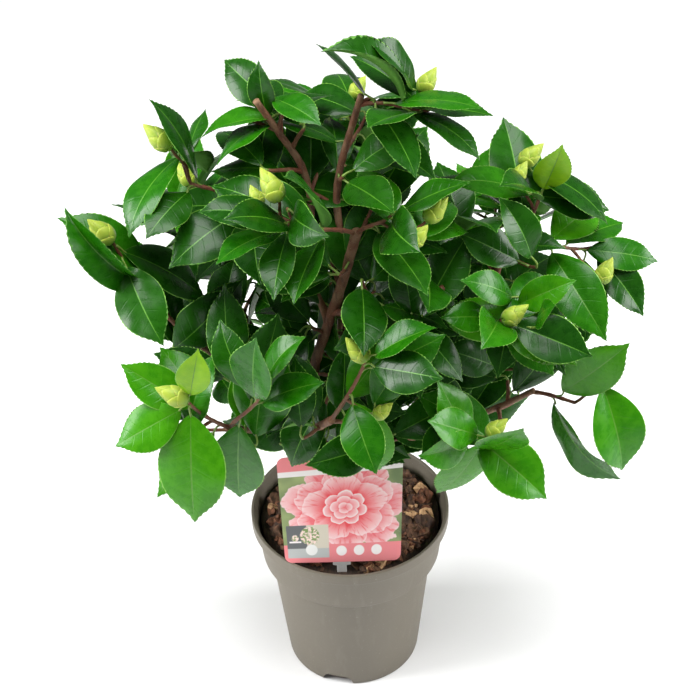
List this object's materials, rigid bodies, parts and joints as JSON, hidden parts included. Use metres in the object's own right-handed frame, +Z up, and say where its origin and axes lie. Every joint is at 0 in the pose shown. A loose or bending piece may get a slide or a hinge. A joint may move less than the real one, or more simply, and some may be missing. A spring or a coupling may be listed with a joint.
{
  "type": "camellia shrub in a nursery pot",
  "caption": "Bushy evergreen camellia shrub with glossy toothed leaves and fat green buds, in a round tapered nursery pot with bark compost and a picture label.",
  "frame": {"origin": "centre of the flat underside of the pot", "axes": "+Z up along the pot axis, -Y towards the front of the plant where the label stands, +X to the right seen from the front"},
  "size_m": [0.3941, 0.2993, 0.5289],
  "materials": {
    "pot": "matte moulded taupe-grey plastic",
    "compost": "loose damp bark compost",
    "bark": "red-brown to grey-brown bark with fine relief",
    "leaf": "thick glossy deep green leaf with a paler underside",
    "label": "printed semi-gloss plastic sheet",
    "clear_plastic": "milky clear plastic"
  },
  "bodies": {
    "root": {"pot": "pot", "compost": "compost", "trunk": "bark", "bough_leader": "bark", "bough_top": "bark", "bough_top_left": "bark", "bough_left_upper": "bark", "bough_left": "bark", "bough_left_low": "bark", "bough_front": "bark", "bough_front_right": "bark", "bough_right_low": "bark", "bough_right": "bark", "bough_right_upper": "bark", "bough_inner_right": "bark", "bough_back": "bark", "bough_back_left": "bark", "bough_back_right": "bark", "foliage_top": "leaf", "foliage_top_left": "leaf", "foliage_centre": "leaf", "foliage_centre_left": "leaf", "foliage_left_upper": "leaf", "foliage_left": "leaf", "foliage_left_low": "leaf", "foliage_front_left": "leaf", "foliage_front": "leaf", "foliage_front_right": "leaf", "foliage_right_low": "leaf", "foliage_right_middle": "leaf", "foliage_right": "leaf", "foliage_right_upper": "leaf", "foliage_back": "leaf", "foliage_back_left": "leaf", "foliage_back_right": "leaf", "foliage_back_low": "leaf", "label": "label", "label_stick": "clear_plastic"}
  },
  "joints": []
}
